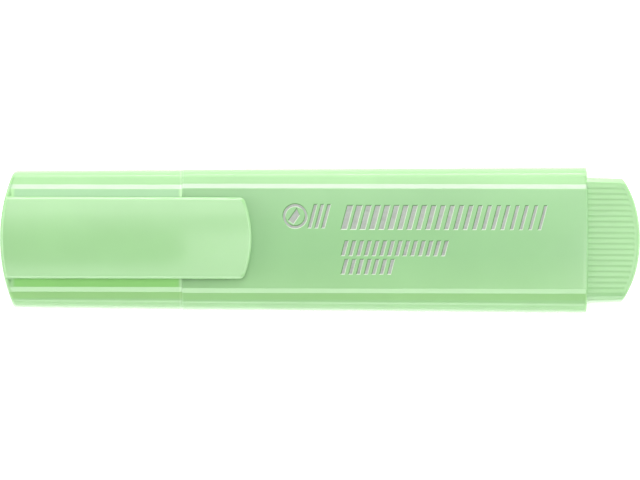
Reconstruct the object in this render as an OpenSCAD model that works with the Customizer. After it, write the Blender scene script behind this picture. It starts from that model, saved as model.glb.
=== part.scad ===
// Flat-bodied highlighter: pull-off cap with a sprung pocket clip, barrel,
// ribbed tail plug, chisel nib and fibre reservoir.
// +X runs from the cap to the tail, +Z is the clip side, and the barrel
// lies on its flat back at z = 0.

/* [Body] */
// Overall length, cap end to tail plug
total_l = 118; // [114:1:122]
// Thickness of the barrel without the clip
body_t = 15; // [14.6:0.1:16]
// Width of the barrel at the cap
front_w = 25.72; // [25.4:0.02:26.4]
// Width of the barrel at the tail
tail_w = 26.7; // [26.2:0.1:27.4]
// Half width of the flat broad face
face_hw = 9.23; // [8.8:0.01:9.5]
// Width of the bright bevel beside the broad face
bevel_w = 0.85; // [0.6:0.05:1]
// Drop of that bevel
bevel_d = 0.75; // [0.5:0.05:0.9]
// Width of the sloping shoulder outside the bevel
shoulder_w = 1.2; // [0.9:0.1:1.4]
// Drop of the shoulder
shoulder_d = 0.45; // [0.3:0.05:0.6]
// Rise of the front face at its middle
crown_h = 0.25; // [0.05:0.05:0.3]

/* [Cap] */
// Length of the cap
cap_l = 33.5; // [32:0.5:35]
// Width of the cap at its closed end
cap_end_w = 25.1; // [24.8:0.1:25.4]
// Width of the cap at its mouth
cap_mouth_w = 25.6; // [25.5:0.1:25.8]
// Plan radius of the closed end
end_r = 32; // [28:1:38]
// Rise of the pad under the clip
pad_h = 0.8; // [0.5:0.1:0.9]
// Half width of that pad
pad_hw = 7.6; // [7.4:0.1:7.9]
// Gap between the cap's mouth and the barrel
mouth_gap = 0.16; // [0.12:0.02:0.4]
// Thickness of the cap's closed end
end_wall = 1.4; // [1.2:0.1:1.6]

/* [Clip] */
// Length of the clip from the cap's end
clip_l = 46.4; // [44:0.2:48]
// Width of the clip
clip_w = 15.05; // [14.4:0.05:15.1]
// Height of the clip's outer face above the middle of the pen
clip_top = 10.5; // [10.4:0.1:10.8]
// Thickness of the clip's arm
clip_t = 1.4; // [1.2:0.1:1.5]
// Slope of the outer half towards the barrel, in degrees
clip_slope = 4.8; // [3.6:0.2:5]
// Rise of the clip's outer face across its width
clip_crown = 0.45; // [0.2:0.05:0.5]
// Plan radius of the clip's tip
tip_r = 19.5; // [16:0.5:24]

/* [Tail plug] */
// Length of the plug outside the barrel
plug_l = 9.6; // [8.6:0.2:10.6]
// Width of the plug at the barrel
plug_w = 23.15; // [22.6:0.05:23.6]
// Plan radius of the plug's end
plug_r = 21.6; // [19:0.2:26]
// Number of grip grooves on each broad side
rib_count = 20; // [12:1:22]
// Distance between grip grooves
rib_pitch = 1.03; // [0.8:0.01:1.04]

/* [Writing end] */
// Radius of the front section's sealing face
seal_r = 4.9; // [4.6:0.1:5]
// Width of the nib
nib_w = 5; // [4.6:0.1:5.2]
// Thickness of the nib
nib_t = 3.6; // [3:0.1:3.8]
// Length of nib that stands out of the front section
nib_out = 5.2; // [4:0.2:5.4]

/* [Hidden] */

green = [0.66, 0.87, 0.63];
zc = body_t / 2;
x_end = -total_l / 2;          // closed end of the cap
x_mouth = x_end + cap_l;       // mouth of the cap
x_shoulder = x_mouth + mouth_gap;
x_tail = total_l / 2 - plug_l; // rear face of the barrel
x_neck = x_shoulder - 8.5;     // front of the barrel's neck
cap_t = body_t - 0.1;
cav_hw = 11.3;                 // half width of the cap's hollow
cav_ht = 6;                    // half height of the cap's hollow
fit_gap = 0.15;                // neck to cap, all round
x_seal0 = x_neck - 1;          // front of the section's flange
x_cone = x_neck - 9.9;
x_nose = x_neck - 12.7;        // front face of the section
x_tip = x_nose - nib_out;
x_inner0 = x_end + 2.1;        // closed end of the inner cap
x_inner1 = x_seal0 - 4.2;      // mouth of the inner cap
x_pivot = x_end + 0.8;
z_pivot = body_t / 2 + pad_h + 0.15;
core_hw = 9;
core_ht = 4.8;
core_x0 = x_shoulder + 3.1;
core_x1 = x_tail - 11.5;
spigot = 8;
foil_t = 0.05;
bow = 0.2;                     // how far the barrel's rear end falls back at its sides
bow_r = tail_w * tail_w / (8 * bow);

// ---- section curves -------------------------------------------------------

function rev(v) = [for (i = [len(v) - 1:-1:0]) v[i]];

// part of an ellipse from the side of the pen up to the shoulder, which it
// meets at the shoulder's own slope
function side_arc(w, ye, zs, ze, n = 8) = let (
    k = shoulder_d / shoulder_w * (w - ye), c = k / (ze - zs - k), e = acos(c),
    a = (w - ye) / (1 - c), b = (ze - zs) / sin(e))
    [for (i = [0:n]) [w - a * (1 - cos(e * i / n)), zs + b * sin(e * i / n)]];

// one side of the pen's section, from its widest point to the broad face
function flank(w, t, f, lift) = concat(
    side_arc(w, f + bevel_w + shoulder_w, t - 4.6, t - bevel_d - shoulder_d),
    [[f + bevel_w, t - bevel_d], [f, t]],
    [[pad_hw, t + lift]]);

// whole upper or lower half, from +Y to -Y
function half_sec(w, t, f, lift, crown) = let (
    s = flank(w, t, f, lift),
    mid = [for (i = [1:11]) let (y = pad_hw * (1 - i / 6)) [y, t + lift]],
    all = concat(s, mid, [for (p = rev(s)) [-p[0], p[1]]]))
    [for (p = all) [p[0], p[1] + (abs(p[0]) <= f ? crown * (1 - pow(p[0] / f, 2)) : 0)]];

// closed ring of points at x; inset shrinks it for a rounded rim,
// bow moves the sides back so that the end is slightly convex
function ring(x, w, t, f, lift, crown, inset = 0, bow = 0) = let (
    up = half_sec(w, t, f, lift, crown),
    dn = [for (p = rev(half_sec(w, t, f, 0, 0))) [p[0], -p[1]]],
    ky = (w - inset) / w, kz = (t - inset) / t)
    [for (p = concat(up, dn)) [x - bow * pow(p[0] / w, 2), p[0] * ky, zc + p[1] * kz]];

module loft(st) {
    n = len(st[0]);
    m = len(st);
    sides = [for (j = [0:m - 2], i = [0:n - 1])
        let (a = j * n + i, b = j * n + (i + 1) % n) each [[a, a + n, b + n], [a, b + n, b]]];
    cap0 = [for (i = [0:n / 2 - 2]) each [[i, i + 1, n - 2 - i], [i, n - 2 - i, n - 1 - i]]];
    e = (m - 1) * n;
    cap1 = [for (f = cap0) [f[2] + e, f[1] + e, f[0] + e]];
    polyhedron([for (s = st) each s], concat(sides, cap0, cap1), convexity = 8);
}

// ---- exact helpers --------------------------------------------------------

// rounded rectangle, half sizes
module rrect(hw, ht, r) {
    square([2 * hw, 2 * (ht - r)], center = true);
    square([2 * (hw - r), 2 * ht], center = true);
    for (y = [-1, 1], z = [-1, 1]) translate([y * (hw - r), z * (ht - r)]) circle(r = r, $fn = 48);
}

// prism along X; the outline's x becomes Y and its y becomes Z
module xprism(x0, x1) translate([x0, 0, zc]) rotate([90, 0, 90]) linear_extrude(x1 - x0) children();

// turned shape about the pen's axis; the outline is [radius, x]
module xturn() translate([0, 0, zc]) rotate([0, 90, 0]) rotate_extrude($fn = 96) children();

// upright drum whose -X (or +X) side makes a curved end with bevelled rims
module drum(x, r, z0, z1, c, s = 1) translate([x + s * r, 0, 0]) rotate_extrude($fn = 360)
    polygon([[0, z0], [r - c, z0], [r, z0 + c], [r, z1 - c], [r - c, z1], [0, z1]]);

// ---- barrel ---------------------------------------------------------------

module barrel_skin() {
    function bw(x) = (front_w + (tail_w - front_w) * (x - x_shoulder) / (x_tail - x_shoulder)) / 2;
    function st(x, inset, back) = ring(x, bw(x), body_t / 2, face_hw, 0, crown_h, inset, back);
    loft([st(x_shoulder, 0.22, 0), st(x_shoulder + 0.08, 0.08, 0), st(x_shoulder + 0.3, 0, 0),
          st(x_tail - 0.38, 0, bow), st(x_tail - 0.22, 0.04, bow), st(x_tail - 0.08, 0.13, bow),
          st(x_tail, 0.36, bow)]);
}

module barrel() color(green) {
    difference() {
        union() {
            barrel_skin();
            // neck that the cap slides over
            xprism(x_neck, x_shoulder + 1) rrect(cav_hw - fit_gap, cav_ht - fit_gap, 2.85);
            // low snap beads on the broad sides of the neck
            for (z = [-1, 1]) translate([x_neck + 4.4, 0, zc + z * (cav_ht - fit_gap - 0.2)])
                rotate([90, 0, 0]) cylinder(r = 0.28, h = 12, center = true, $fn = 32);
        }
        // main hollow, open at the tail
        xprism(x_shoulder + 1.9, x_tail + 1) rrect(cav_hw, cav_ht - 0.1, 3);
        // hollow of the neck behind its front wall
        xprism(x_neck + 5, x_shoulder + 2.5) rrect(9.6, 4.4, 2);
        // seat of the front section
        translate([x_neck - 1, 0, zc]) rotate([0, 90, 0]) cylinder(r = 5.2, h = 8, $fn = 96);
    }
    // ribs that hold the reservoir clear of the wall
    for (y = [-5.5, 5.5], z = [-1, 1])
        translate([core_x0, y - 0.4, zc + z * 5.45 - 0.5]) cube([core_x1 - core_x0, 0.8, 1]);
}

// ---- tail plug ------------------------------------------------------------

plug_t0 = 6.55;                // half thickness of the plug at the barrel
plug_t1 = 5.95;                // half thickness at its end

function plug_sec(w, t) = let (
    arc = [for (i = [0:7]) let (a = 90 * i / 7) [w - 1.1 + 1.1 * cos(a), t - 3.2 + 2.75 * sin(a)]],
    h = concat(arc, [[w - 1.6, t - 0.1]], [for (i = [0:8]) [(w - 2.2) * (1 - i / 4), t]],
               [[-w + 1.6, t - 0.1]], [for (p = rev(arc)) [-p[0], p[1]]]))
    concat(h, [for (p = rev(h)) [p[0], -p[1]]]);

function plug_ring(x, w, t) = [for (p = plug_sec(w, t)) [x, p[0], zc + p[1]]];

module grooves() {
    slope = atan((plug_t0 - plug_t1) / plug_l);
    for (i = [0:rib_count - 1], z = [-1, 1])
        translate([x_tail - 1, (i - (rib_count - 1) / 2) * rib_pitch, zc + z * (plug_t0 + 0.12)])
        rotate([0, z * slope, 0]) rotate([45, 0, 0])
        translate([0, -0.24, -0.24]) cube([plug_l + 3, 0.48, 0.48]);
}

module end_plug() color(green) union() {
    difference() {
        intersection() {
            loft([plug_ring(x_tail - 0.6, plug_w / 2, plug_t0),
                  plug_ring(total_l / 2 + 0.2, plug_w / 2 - 0.23, plug_t1)]);
            drum(total_l / 2, plug_r, zc - 6.3, zc + 6.3, 0.9, -1);
        }
        // front face follows the barrel's bowed rear face
        translate([x_tail - bow_r, 0, -1]) cylinder(r = bow_r, h = body_t + 2, $fn = 1440);
        // grip grooves on both broad sides, stopped short of the end's rim
        intersection() {
            grooves();
            translate([total_l / 2 - plug_r, 0, 0]) cylinder(r = plug_r - 0.95, h = body_t, $fn = 360);
        }
    }
    // hollow spigot pressed into the barrel
    difference() {
        xprism(x_tail - spigot, x_tail + 0.6) rrect(cav_hw - 0.05, cav_ht - 0.15, 2.95);
        xprism(x_tail - spigot - 1, x_tail - 1) rrect(cav_hw - 1.25, cav_ht - 1.35, 1.8);
    }
}

// ---- writing end ----------------------------------------------------------

module front_section() color([0.7, 0.89, 0.67]) difference() {
    xturn() polygon([[0, x_neck + 7], [4.9, x_neck + 7], [5.2, x_neck + 6.4], [5.2, x_neck],
        [5.75, x_neck], [5.75, x_neck - 0.75], [5.5, x_seal0], [seal_r, x_seal0],
        [seal_r, x_cone + 0.3], [seal_r - 0.15, x_cone], [3.75, x_nose + 0.35], [3.4, x_nose], [0, x_nose]]);
    // nib seat
    xprism(x_nose - 1, x_neck + 8) rrect(nib_w / 2, nib_t / 2, 0.9);
    // air grooves beside the nib
    xprism(x_nose - 1, x_neck + 8) for (y = [-1.2, 1.2], z = [-1, 1])
        translate([y, z * nib_t / 2]) square([0.5, 0.7], center = true);
}

module nib() color([0.86, 0.96, 0.62]) intersection() {
    xprism(x_tip, core_x0 + 5.5) rrect(nib_w / 2, nib_t / 2, 0.9);
    // slanted writing edge
    translate([0, 0, zc]) linear_extrude(nib_t + 2, center = true)
        polygon([[x_tip, -nib_w / 2], [x_tip, -nib_w / 2 + 0.7], [x_tip + 2.7, nib_w / 2 + 0.1],
                 [core_x0 + 6, nib_w / 2 + 0.1], [core_x0 + 6, -nib_w / 2 - 0.1], [x_tip + 0.4, -nib_w / 2 - 0.1]]);
    // wedge towards the edge
    translate([0, 0, zc]) rotate([90, 0, 0]) linear_extrude(nib_w + 2, center = true)
        polygon([[x_tip - 0.1, -0.75], [x_tip - 0.1, 0.75], [x_tip + 3.9, nib_t / 2 + 0.1],
                 [core_x0 + 6, nib_t / 2 + 0.1], [core_x0 + 6, -nib_t / 2 - 0.1], [x_tip + 3.9, -nib_t / 2 - 0.1]]);
}

// ---- ink system -----------------------------------------------------------

module reservoir_core() color([0.8, 0.95, 0.45]) difference() {
    xprism(core_x0, core_x1) rrect(core_hw, core_ht, core_ht - 0.01);
    xprism(core_x0 - 1, core_x0 + 5.5) rrect(nib_w / 2, nib_t / 2, 0.9);
}

module reservoir_film() color([0.93, 0.97, 0.9]) difference() {
    xprism(core_x0 + 0.6, core_x1 - 0.6) rrect(core_hw + 0.12, core_ht + 0.12, core_ht + 0.11);
    xprism(core_x0, core_x1) rrect(core_hw, core_ht, core_ht - 0.01);
}

module breather_tube() color([0.95, 0.95, 0.92])
    translate([core_x0 - 0.4, -cav_hw + 1.15, zc]) rotate([0, 90, 0]) difference() {
        cylinder(r = 0.85, h = core_x1 - core_x0 + 2.4, $fn = 32);
        translate([0, 0, -1]) cylinder(r = 0.5, h = core_x1 - core_x0 + 5, $fn = 32);
    }

// ---- print ----------------------------------------------------------------

// upright strokes leaning to the right, w wide and 2 * h high
module stroke(w, h) polygon([[-0.26 * h, -h], [w - 0.26 * h, -h], [w + 0.26 * h, h], [0.26 * h, h]]);

module marks() {
    // pictograms: a chisel tip in a ring, and three strokes
    translate([-4.6, 4.1]) {
        difference() { circle(r = 2.2, $fn = 48); circle(r = 1.85, $fn = 48); }
        rotate(-35) polygon([[-0.5, -1.3], [0.5, -1.3], [0.5, 0.6], [-0.5, 1.25]]);
    }
    for (i = [0:2]) translate([-1.6 + i * 1.25, 4.1]) stroke(0.42, 2.1);
    // row of strokes, thick to thin
    for (i = [0:21]) translate([4.5 + i * 1.73, 3.9]) stroke(0.92 - i * 0.026, 2.15);
    // two shorter rows
    for (i = [0:13]) translate([4.3 + i * 1.42, -1.8]) stroke(0.5, 1.3);
    for (i = [0:6]) translate([4.3 + i * 1.42, -5.2]) stroke(0.5, 1.3);
}

module foil_print() color([0.74, 0.77, 0.73]) {
    r = (face_hw * face_hw + crown_h * crown_h) / (2 * crown_h);
    top = body_t + crown_h;
    intersection() {
        translate([0, 0, body_t - 1]) linear_extrude(3) marks();
        difference() {
            translate([-20, 0, top - r]) rotate([0, 90, 0]) cylinder(r = r + foil_t, h = 80, $fn = 1440);
            translate([-21, 0, top - r]) rotate([0, 90, 0]) cylinder(r = r, h = 82, $fn = 1440);
        }
    }
}

// ---- cap ------------------------------------------------------------------

module cap_shell() color(green) difference() {
    intersection() {
        loft([ring(x_end - 0.2, cap_end_w / 2, cap_t / 2, face_hw - 0.18, pad_h, 0),
              ring(x_mouth - 0.3, cap_mouth_w / 2, cap_t / 2, face_hw - 0.18, pad_h, 0),
              ring(x_mouth - 0.08, cap_mouth_w / 2, cap_t / 2, face_hw - 0.18, pad_h, 0, 0.08),
              ring(x_mouth, cap_mouth_w / 2, cap_t / 2, face_hw - 0.18, pad_h, 0, 0.22)]);
        drum(x_end, end_r, 0.05, body_t + pad_h, 0.6);
    }
    // hollow, with a curved inner end
    intersection() {
        xprism(x_end, x_mouth + 1) rrect(cav_hw, cav_ht, 3);
        translate([x_end + end_r, 0, 0]) cylinder(r = end_r - end_wall, h = body_t, $fn = 360);
    }
    // seat of the inner cap's peg
    translate([x_end + 0.7, 0, zc]) rotate([0, 90, 0]) cylinder(r = 2, h = 2, $fn = 48);
    // slot of the clip's foot
    translate([x_end + 2.45, -4.3, zc + 5]) cube([1.7, 8.6, 6]);
    // small pockets beside the clip's root
    for (y = [-1, 1]) translate([x_end + 1.6, y * 8.2 - 0.5, zc + cap_t / 2 - 0.3]) cube([0.5, 1, 3]);
}

module inner_cap() color([0.93, 0.97, 0.92]) xturn() polygon([
    [0, x_end + 1], [1.98, x_end + 1], [1.98, x_inner0], [5.2, x_inner0], [5.6, x_inner0 + 0.4],
    [5.6, x_inner1 - 0.3], [5.3, x_inner1], [5.15, x_inner1], [seal_r + 0.06, x_inner1 - 0.5],
    [seal_r + 0.06, x_inner1 - 1.1], [5.2, x_inner1 - 1.6], [5.2, x_inner0 + 1.1], [0, x_inner0 + 1.1]]);

// ---- clip -----------------------------------------------------------------

// height of the clip's outer face: level over the cap, then sloping down
function clip_out(x) = let (u = x - x_end, b0 = 24, b1 = 35, k = tan(clip_slope))
    clip_top - (u <= b0 ? 0 : u < b1 ? k * pow(u - b0, 2) / (2 * (b1 - b0)) : k * ((b1 - b0) / 2 + u - b1));

// underside: a thick root on the cap's pad, then the free arm
function clip_in(x) = let (u = x - x_end, z = clip_out(x) - clip_t + 0.4 * min(1, max(0, (u - 26) / 20)))
    let (root = pad_h + body_t / 2 + 0.1)
    u <= 8 ? root : u < 11 ? root + (z - root) * (1 - cos(60 * (u - 8))) / 2 : z;

function clip_ring(x) = let (h = clip_w / 2, c = 0.28, zo = clip_out(x), zi = clip_in(x),
        ys = concat([h, h - c], [for (i = [1:9]) (h - c) * (1 - i / 5)], [-h + c, -h]),
        up = [for (y = ys) [y, zo - clip_crown * pow(y / h, 2) - (abs(y) > h - c / 2 ? c : 0)]])
    [for (p = concat(up, [for (y = rev(ys)) [y, zi]])) [x, p[0], zc + p[1]]];

// plan outline: curved root end, straight sides, round tip with eased corners
module clip_plan() {
    h = clip_w / 2;
    e = 1.1;
    xt = x_end + clip_l - tip_r;
    a = asin((h - e) / (tip_r - e));
    xc = xt + (tip_r - e) * cos(a);
    intersection() {
        translate([x_end + end_r, 0]) circle(r = end_r, $fn = 360);
        union() {
            translate([x_end - 1, -h]) square([xc - x_end + 1, clip_w]);
            intersection() {
                translate([xt, 0]) circle(r = tip_r, $fn = 360);
                polygon([[xt, 0], [xt + 40 * cos(a), -40 * sin(a)], [xt + 40 * cos(a), 40 * sin(a)]]);
            }
            for (y = [-1, 1]) translate([xc, y * (h - e)]) circle(r = e, $fn = 32);
        }
    }
}

module clip() color([0.72, 0.93, 0.69]) {
    intersection() {
        loft([for (x = [x_end - 0.1, x_end + 7.9, x_end + 8.7, x_end + 9.5, x_end + 10.3, x_end + 11.1, x_end + 24,
                        x_end + 26, x_end + 28, x_end + 30, x_end + 32, x_end + 34, x_end + 36, x_end + 41,
                        x_end + clip_l + 0.1]) clip_ring(x)]);
        linear_extrude(30) clip_plan();
    }
    // foot that holds the clip in the cap's slot
    translate([x_end + 2.7, -4, zc + cav_ht + 0.35]) cube([1.2, 8, 3.2]);
}

barrel();
front_section();
nib();
reservoir_core();
reservoir_film();
breather_tube();
end_plug();
foil_print();
cap_shell();
inner_cap();
clip();
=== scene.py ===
import math

import bmesh
import bpy
import numpy as np
from mathutils import Matrix, Vector


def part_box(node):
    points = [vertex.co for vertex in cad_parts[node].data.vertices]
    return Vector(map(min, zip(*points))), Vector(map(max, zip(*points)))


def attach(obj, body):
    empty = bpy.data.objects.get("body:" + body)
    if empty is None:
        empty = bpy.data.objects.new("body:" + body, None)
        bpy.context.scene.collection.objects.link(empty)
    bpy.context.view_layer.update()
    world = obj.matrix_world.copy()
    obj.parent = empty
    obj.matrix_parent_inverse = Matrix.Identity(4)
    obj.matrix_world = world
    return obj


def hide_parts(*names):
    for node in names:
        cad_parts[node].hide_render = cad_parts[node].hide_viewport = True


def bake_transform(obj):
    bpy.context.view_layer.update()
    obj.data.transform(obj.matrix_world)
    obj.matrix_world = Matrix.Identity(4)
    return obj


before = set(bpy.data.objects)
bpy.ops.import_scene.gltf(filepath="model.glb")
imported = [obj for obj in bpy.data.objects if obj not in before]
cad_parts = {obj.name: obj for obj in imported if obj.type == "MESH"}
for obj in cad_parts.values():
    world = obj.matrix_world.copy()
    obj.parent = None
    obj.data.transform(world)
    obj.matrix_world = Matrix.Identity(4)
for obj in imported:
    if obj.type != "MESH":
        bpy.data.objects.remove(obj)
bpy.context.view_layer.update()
MM = 0.001
sin, cos, rad = math.sin, math.cos, math.radians

# ---------------------------------------------------------------------------
# places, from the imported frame, in millimetres
# ---------------------------------------------------------------------------


def lohi(node):
    lo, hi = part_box(node)
    return np.array(lo) / MM, np.array(hi) / MM


b_lo, b_hi = lohi("barrel")
c_lo, c_hi = lohi("cap_shell")
k_lo, k_hi = lohi("clip")
p_lo, p_hi = lohi("end_plug")
s_lo, s_hi = lohi("front_section")
n_lo, n_hi = lohi("nib")

ZC = 7.5                         # middle of the pen's thickness
X_END, X_MOUTH = c_lo[0], c_hi[0]
X_NECK, X_TAIL = b_lo[0], b_hi[0]
X_SHO = X_NECK + 8.5             # barrel's shoulder
X_PLUG = p_hi[0]
X_CTIP = k_hi[0]
W_TAIL = b_hi[1]
FACE, BEV_W, BEV_D, SHO_W, SHO_D, CROWN = 9.23, 0.85, 0.75, 1.2, 0.45, 0.25
PAD_HW, PAD_H = 7.6, 0.8
CAV_HW, CAV_HT = 11.3, 6.0

# ---------------------------------------------------------------------------
# mesh helpers
# ---------------------------------------------------------------------------


class Build:
    """Collects rings of points and the faces between them."""

    def __init__(self):
        self.v, self.f = [], []

    def pts(self, points):
        start = len(self.v)
        self.v.extend([tuple(p) for p in points])
        return list(range(start, len(self.v)))

    def loft(self, rings, closed=True, flip=False):
        for a, b in zip(rings, rings[1:]):
            n = len(a)
            for i in range(n if closed else n - 1):
                j = (i + 1) % n
                q = (a[i], b[i], b[j], a[j])
                self.f.append(q[::-1] if flip else q)

    def ladder(self, ring, flip=False):
        """Closes a ring whose second half runs back under the first."""
        n = len(ring)
        for i in range(n // 2 - 1):
            q = (ring[i], ring[i + 1], ring[n - 2 - i], ring[n - 1 - i])
            self.f.append(q[::-1] if flip else q)

    def fan(self, ring, centre, flip=False):
        c = self.pts([centre])[0]
        n = len(ring)
        for i in range(n):
            t = (ring[i], ring[(i + 1) % n], c)
            self.f.append(t[::-1] if flip else t)

    def bridge(self, a, b, flip=False):
        """Joins two flat rings of different counts, both seen the same way round."""
        def ang(i):
            x, y, z = self.v[i]
            return math.atan2(z - ZC, y)
        def order(r):
            k = min(range(len(r)), key=lambda q: abs(ang(r[q])))
            r = r[k:] + r[:k]
            out, last = [], None
            for i in r:
                t = ang(i)
                if last is not None:
                    while t < last - math.pi:
                        t += 2 * math.pi
                    while t > last + math.pi:
                        t -= 2 * math.pi
                out.append((i, t))
                last = t
            return out
        A, B = order(a), order(b)
        i = j = 0
        na, nb = len(A), len(B)
        turn = 2 * math.pi * (1 if A[na // 4][1] > A[0][1] else -1)
        def t(L, k):
            return L[k % len(L)][1] + turn * (k // len(L))
        s = 1 if turn > 0 else -1
        while i < na or j < nb:
            if j >= nb or (i < na and s * t(A, i + 1) <= s * t(B, j + 1)):
                f = (A[i % na][0], A[(i + 1) % na][0], B[j % nb][0])
                i += 1
            else:
                f = (A[i % na][0], B[(j + 1) % nb][0], B[j % nb][0])
                j += 1
            self.f.append(f[::-1] if flip else f)

    def make(self, name, material, sharp=32):
        me = bpy.data.meshes.new(name)
        me.from_pydata([(x * MM, y * MM, z * MM) for x, y, z in self.v], [], self.f)
        bm = bmesh.new()
        bm.from_mesh(me)
        bmesh.ops.remove_doubles(bm, verts=bm.verts, dist=1e-7)
        bmesh.ops.dissolve_degenerate(bm, edges=bm.edges, dist=1e-8)
        bmesh.ops.recalc_face_normals(bm, faces=bm.faces)
        bm.to_mesh(me)
        bm.free()
        o = bpy.data.objects.new(name, me)
        bpy.context.scene.collection.objects.link(o)
        finish_mesh(o, material, sharp)
        return o


def finish_mesh(o, material, sharp=32):
    me = o.data
    me.polygons.foreach_set("use_smooth", [True] * len(me.polygons))
    me.set_sharp_from_angle(angle=rad(sharp))
    me.materials.clear()
    me.materials.append(material)
    me.update()


def cut(o, tools, material, sharp=32, op="DIFFERENCE"):
    """Boolean with a list of tool objects, applied; the tools are removed."""
    for tool in tools:
        m = o.modifiers.new("cut", "BOOLEAN")
        m.operation, m.solver, m.object = op, "EXACT", tool
    dg = bpy.context.evaluated_depsgraph_get()
    new = bpy.data.meshes.new_from_object(o.evaluated_get(dg))
    o.modifiers.clear()
    o.data = new
    for tool in tools:
        bpy.data.objects.remove(tool)
    finish_mesh(o, material, sharp)


def weighted(o):
    """Keeps the broad faces' normals flat beside their rounded edges."""
    m = o.modifiers.new("even_shading", "WEIGHTED_NORMAL")
    m.mode, m.weight, m.keep_sharp = "FACE_AREA", 90, True


def smooth(t):
    t = min(1.0, max(0.0, t))
    return t * t * (3 - 2 * t)


def fillet(A, P, B, r, seg=4, sup=0.12):
    A, P, B = (np.array(q, float) for q in (A, P, B))
    u, v = A - P, B - P
    lu, lv = np.linalg.norm(u), np.linalg.norm(v)
    u, v = u / lu, v / lv
    ang = math.acos(max(-1, min(1, float(u @ v))))
    dev = math.pi - ang
    room = 0.40 * min(lu, lv)
    if dev < 0.02:
        t = min(0.05, room / 2)
        s = min(sup, room)
        k = np.linspace(-1, 1, seg + 1)
        mid = [P + (u * t * -q if q < 0 else v * t * q) for q in k]
        return [P + u * (t + s)] + mid + [P + v * (t + s)]
    t = min(r * math.tan(dev / 2), room)
    r = t / math.tan(dev / 2)
    s = min(sup, 0.46 * min(lu, lv) - t + 0.02)
    bis = (u + v) / np.linalg.norm(u + v)
    C = P + bis * (r / sin(ang / 2))
    a, b = P + u * t - C, P + v * t - C
    arc = []
    for i in range(seg + 1):
        q = i / seg
        w = (sin((1 - q) * dev) * a + sin(q * dev) * b) / sin(dev)
        arc.append(C + w)
    return [P + u * (t + s)] + arc + [P + v * (t + s)]


def half_section(w, t, f, lift, crown, pad=PAD_HW, arc_n=12):
    """Upper half of the pen's section from +Y to -Y, as (y, z) about the middle."""
    ye, zs, ze = f + BEV_W + SHO_W, t - 4.6, t - BEV_D - SHO_D
    k = SHO_D / SHO_W * (w - ye)
    e = math.acos(k / (ze - zs - k))
    a, b = (w - ye) / (1 - cos(e)), (ze - zs) / sin(e)
    arc = [np.array([w - a * (1 - cos(e * i / arc_n)), zs + b * sin(e * i / arc_n)]) for i in range(arc_n + 1)]
    C1, C2, C3 = np.array([f + BEV_W, t - BEV_D]), np.array([f, t]), np.array([pad, t + lift])
    mid = np.array([0.0, t + lift])
    side = arc[:-1] + fillet(arc[-2], arc[-1], C1, 0.18, 3, 0.05) + fillet(arc[-1], C1, C2, 0.12, 3, 0.07) \
        + fillet(C1, C2, C3, 0.14, 4, 0.1) + fillet(C2, C3, mid, 0.35, 4, 0.15)
    inner = [np.array([side[-1][0] * (1 - k / 9), t + lift]) for k in range(1, 9)]
    right = side + inner
    out = right + [np.array([0.0, t + lift])] + [np.array([-p[0], p[1]]) for p in right[::-1]]
    return [np.array([p[0], p[1] + (crown * (1 - (p[0] / f) ** 2) if abs(p[0]) <= f else 0)]) for p in out]


def section(w, t, f, lift, crown):
    up = half_section(w, t, f, lift, crown)
    dn = [np.array([p[0], -p[1]]) for p in half_section(w, t, f, 0, 0)][::-1]
    return np.array(up + dn)


def scaled(sec, w, t, inset, ky=1.0):
    return sec * np.array([(w - inset * ky) / w, (t - inset) / t])


def rrect_ring(hw, ht, r, seg=8, n_h=8, n_v=4):
    """Rounded rectangle from +Y over the top to -Y and back, as (y, z)."""
    def side(s):
        pts = [np.array([hw, z]) for z in np.linspace(0, ht - r, n_v + 1)[:-1]]
        pts += [np.array([hw - r + r * cos(a), ht - r + r * sin(a)]) for a in np.linspace(0, math.pi / 2, seg + 1)]
        pts += [np.array([y, ht]) for y in np.linspace(hw - r, 0, n_h + 1)[1:]]
        return pts
    right = side(1)
    top = right + [np.array([-p[0], p[1]]) for p in right[::-1][1:]]
    bottom = [np.array([p[0], -p[1]]) for p in top[::-1]][1:-1]
    # a point on each side's middle is shared, so double it to keep the ladder even
    return np.array([top[0] * 1.0] + top[1:] + [top[-1] + np.array([0, -1e-4])] + bottom[0:] + [top[0] + np.array([0, -1e-4])])


def ring3(sec, xs):
    xs = np.broadcast_to(xs, (len(sec),))
    return [(x, p[0], ZC + p[1]) for x, p in zip(xs, sec)]


def quarter(r, n):
    """(depth along, inset) steps of a rounded rim, from its end face outwards."""
    return [(r * (1 - sin(a)), r * (1 - cos(a))) for a in np.linspace(math.pi / 2, 0, n + 1)]


# ---------------------------------------------------------------------------
# materials
# ---------------------------------------------------------------------------


def lin(c):
    c = c / 255.0
    return c / 12.92 if c <= 0.04045 else ((c + 0.055) / 1.055) ** 2.4


def rgb(r, g, b):
    return (lin(r), lin(g), lin(b), 1.0)


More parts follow.
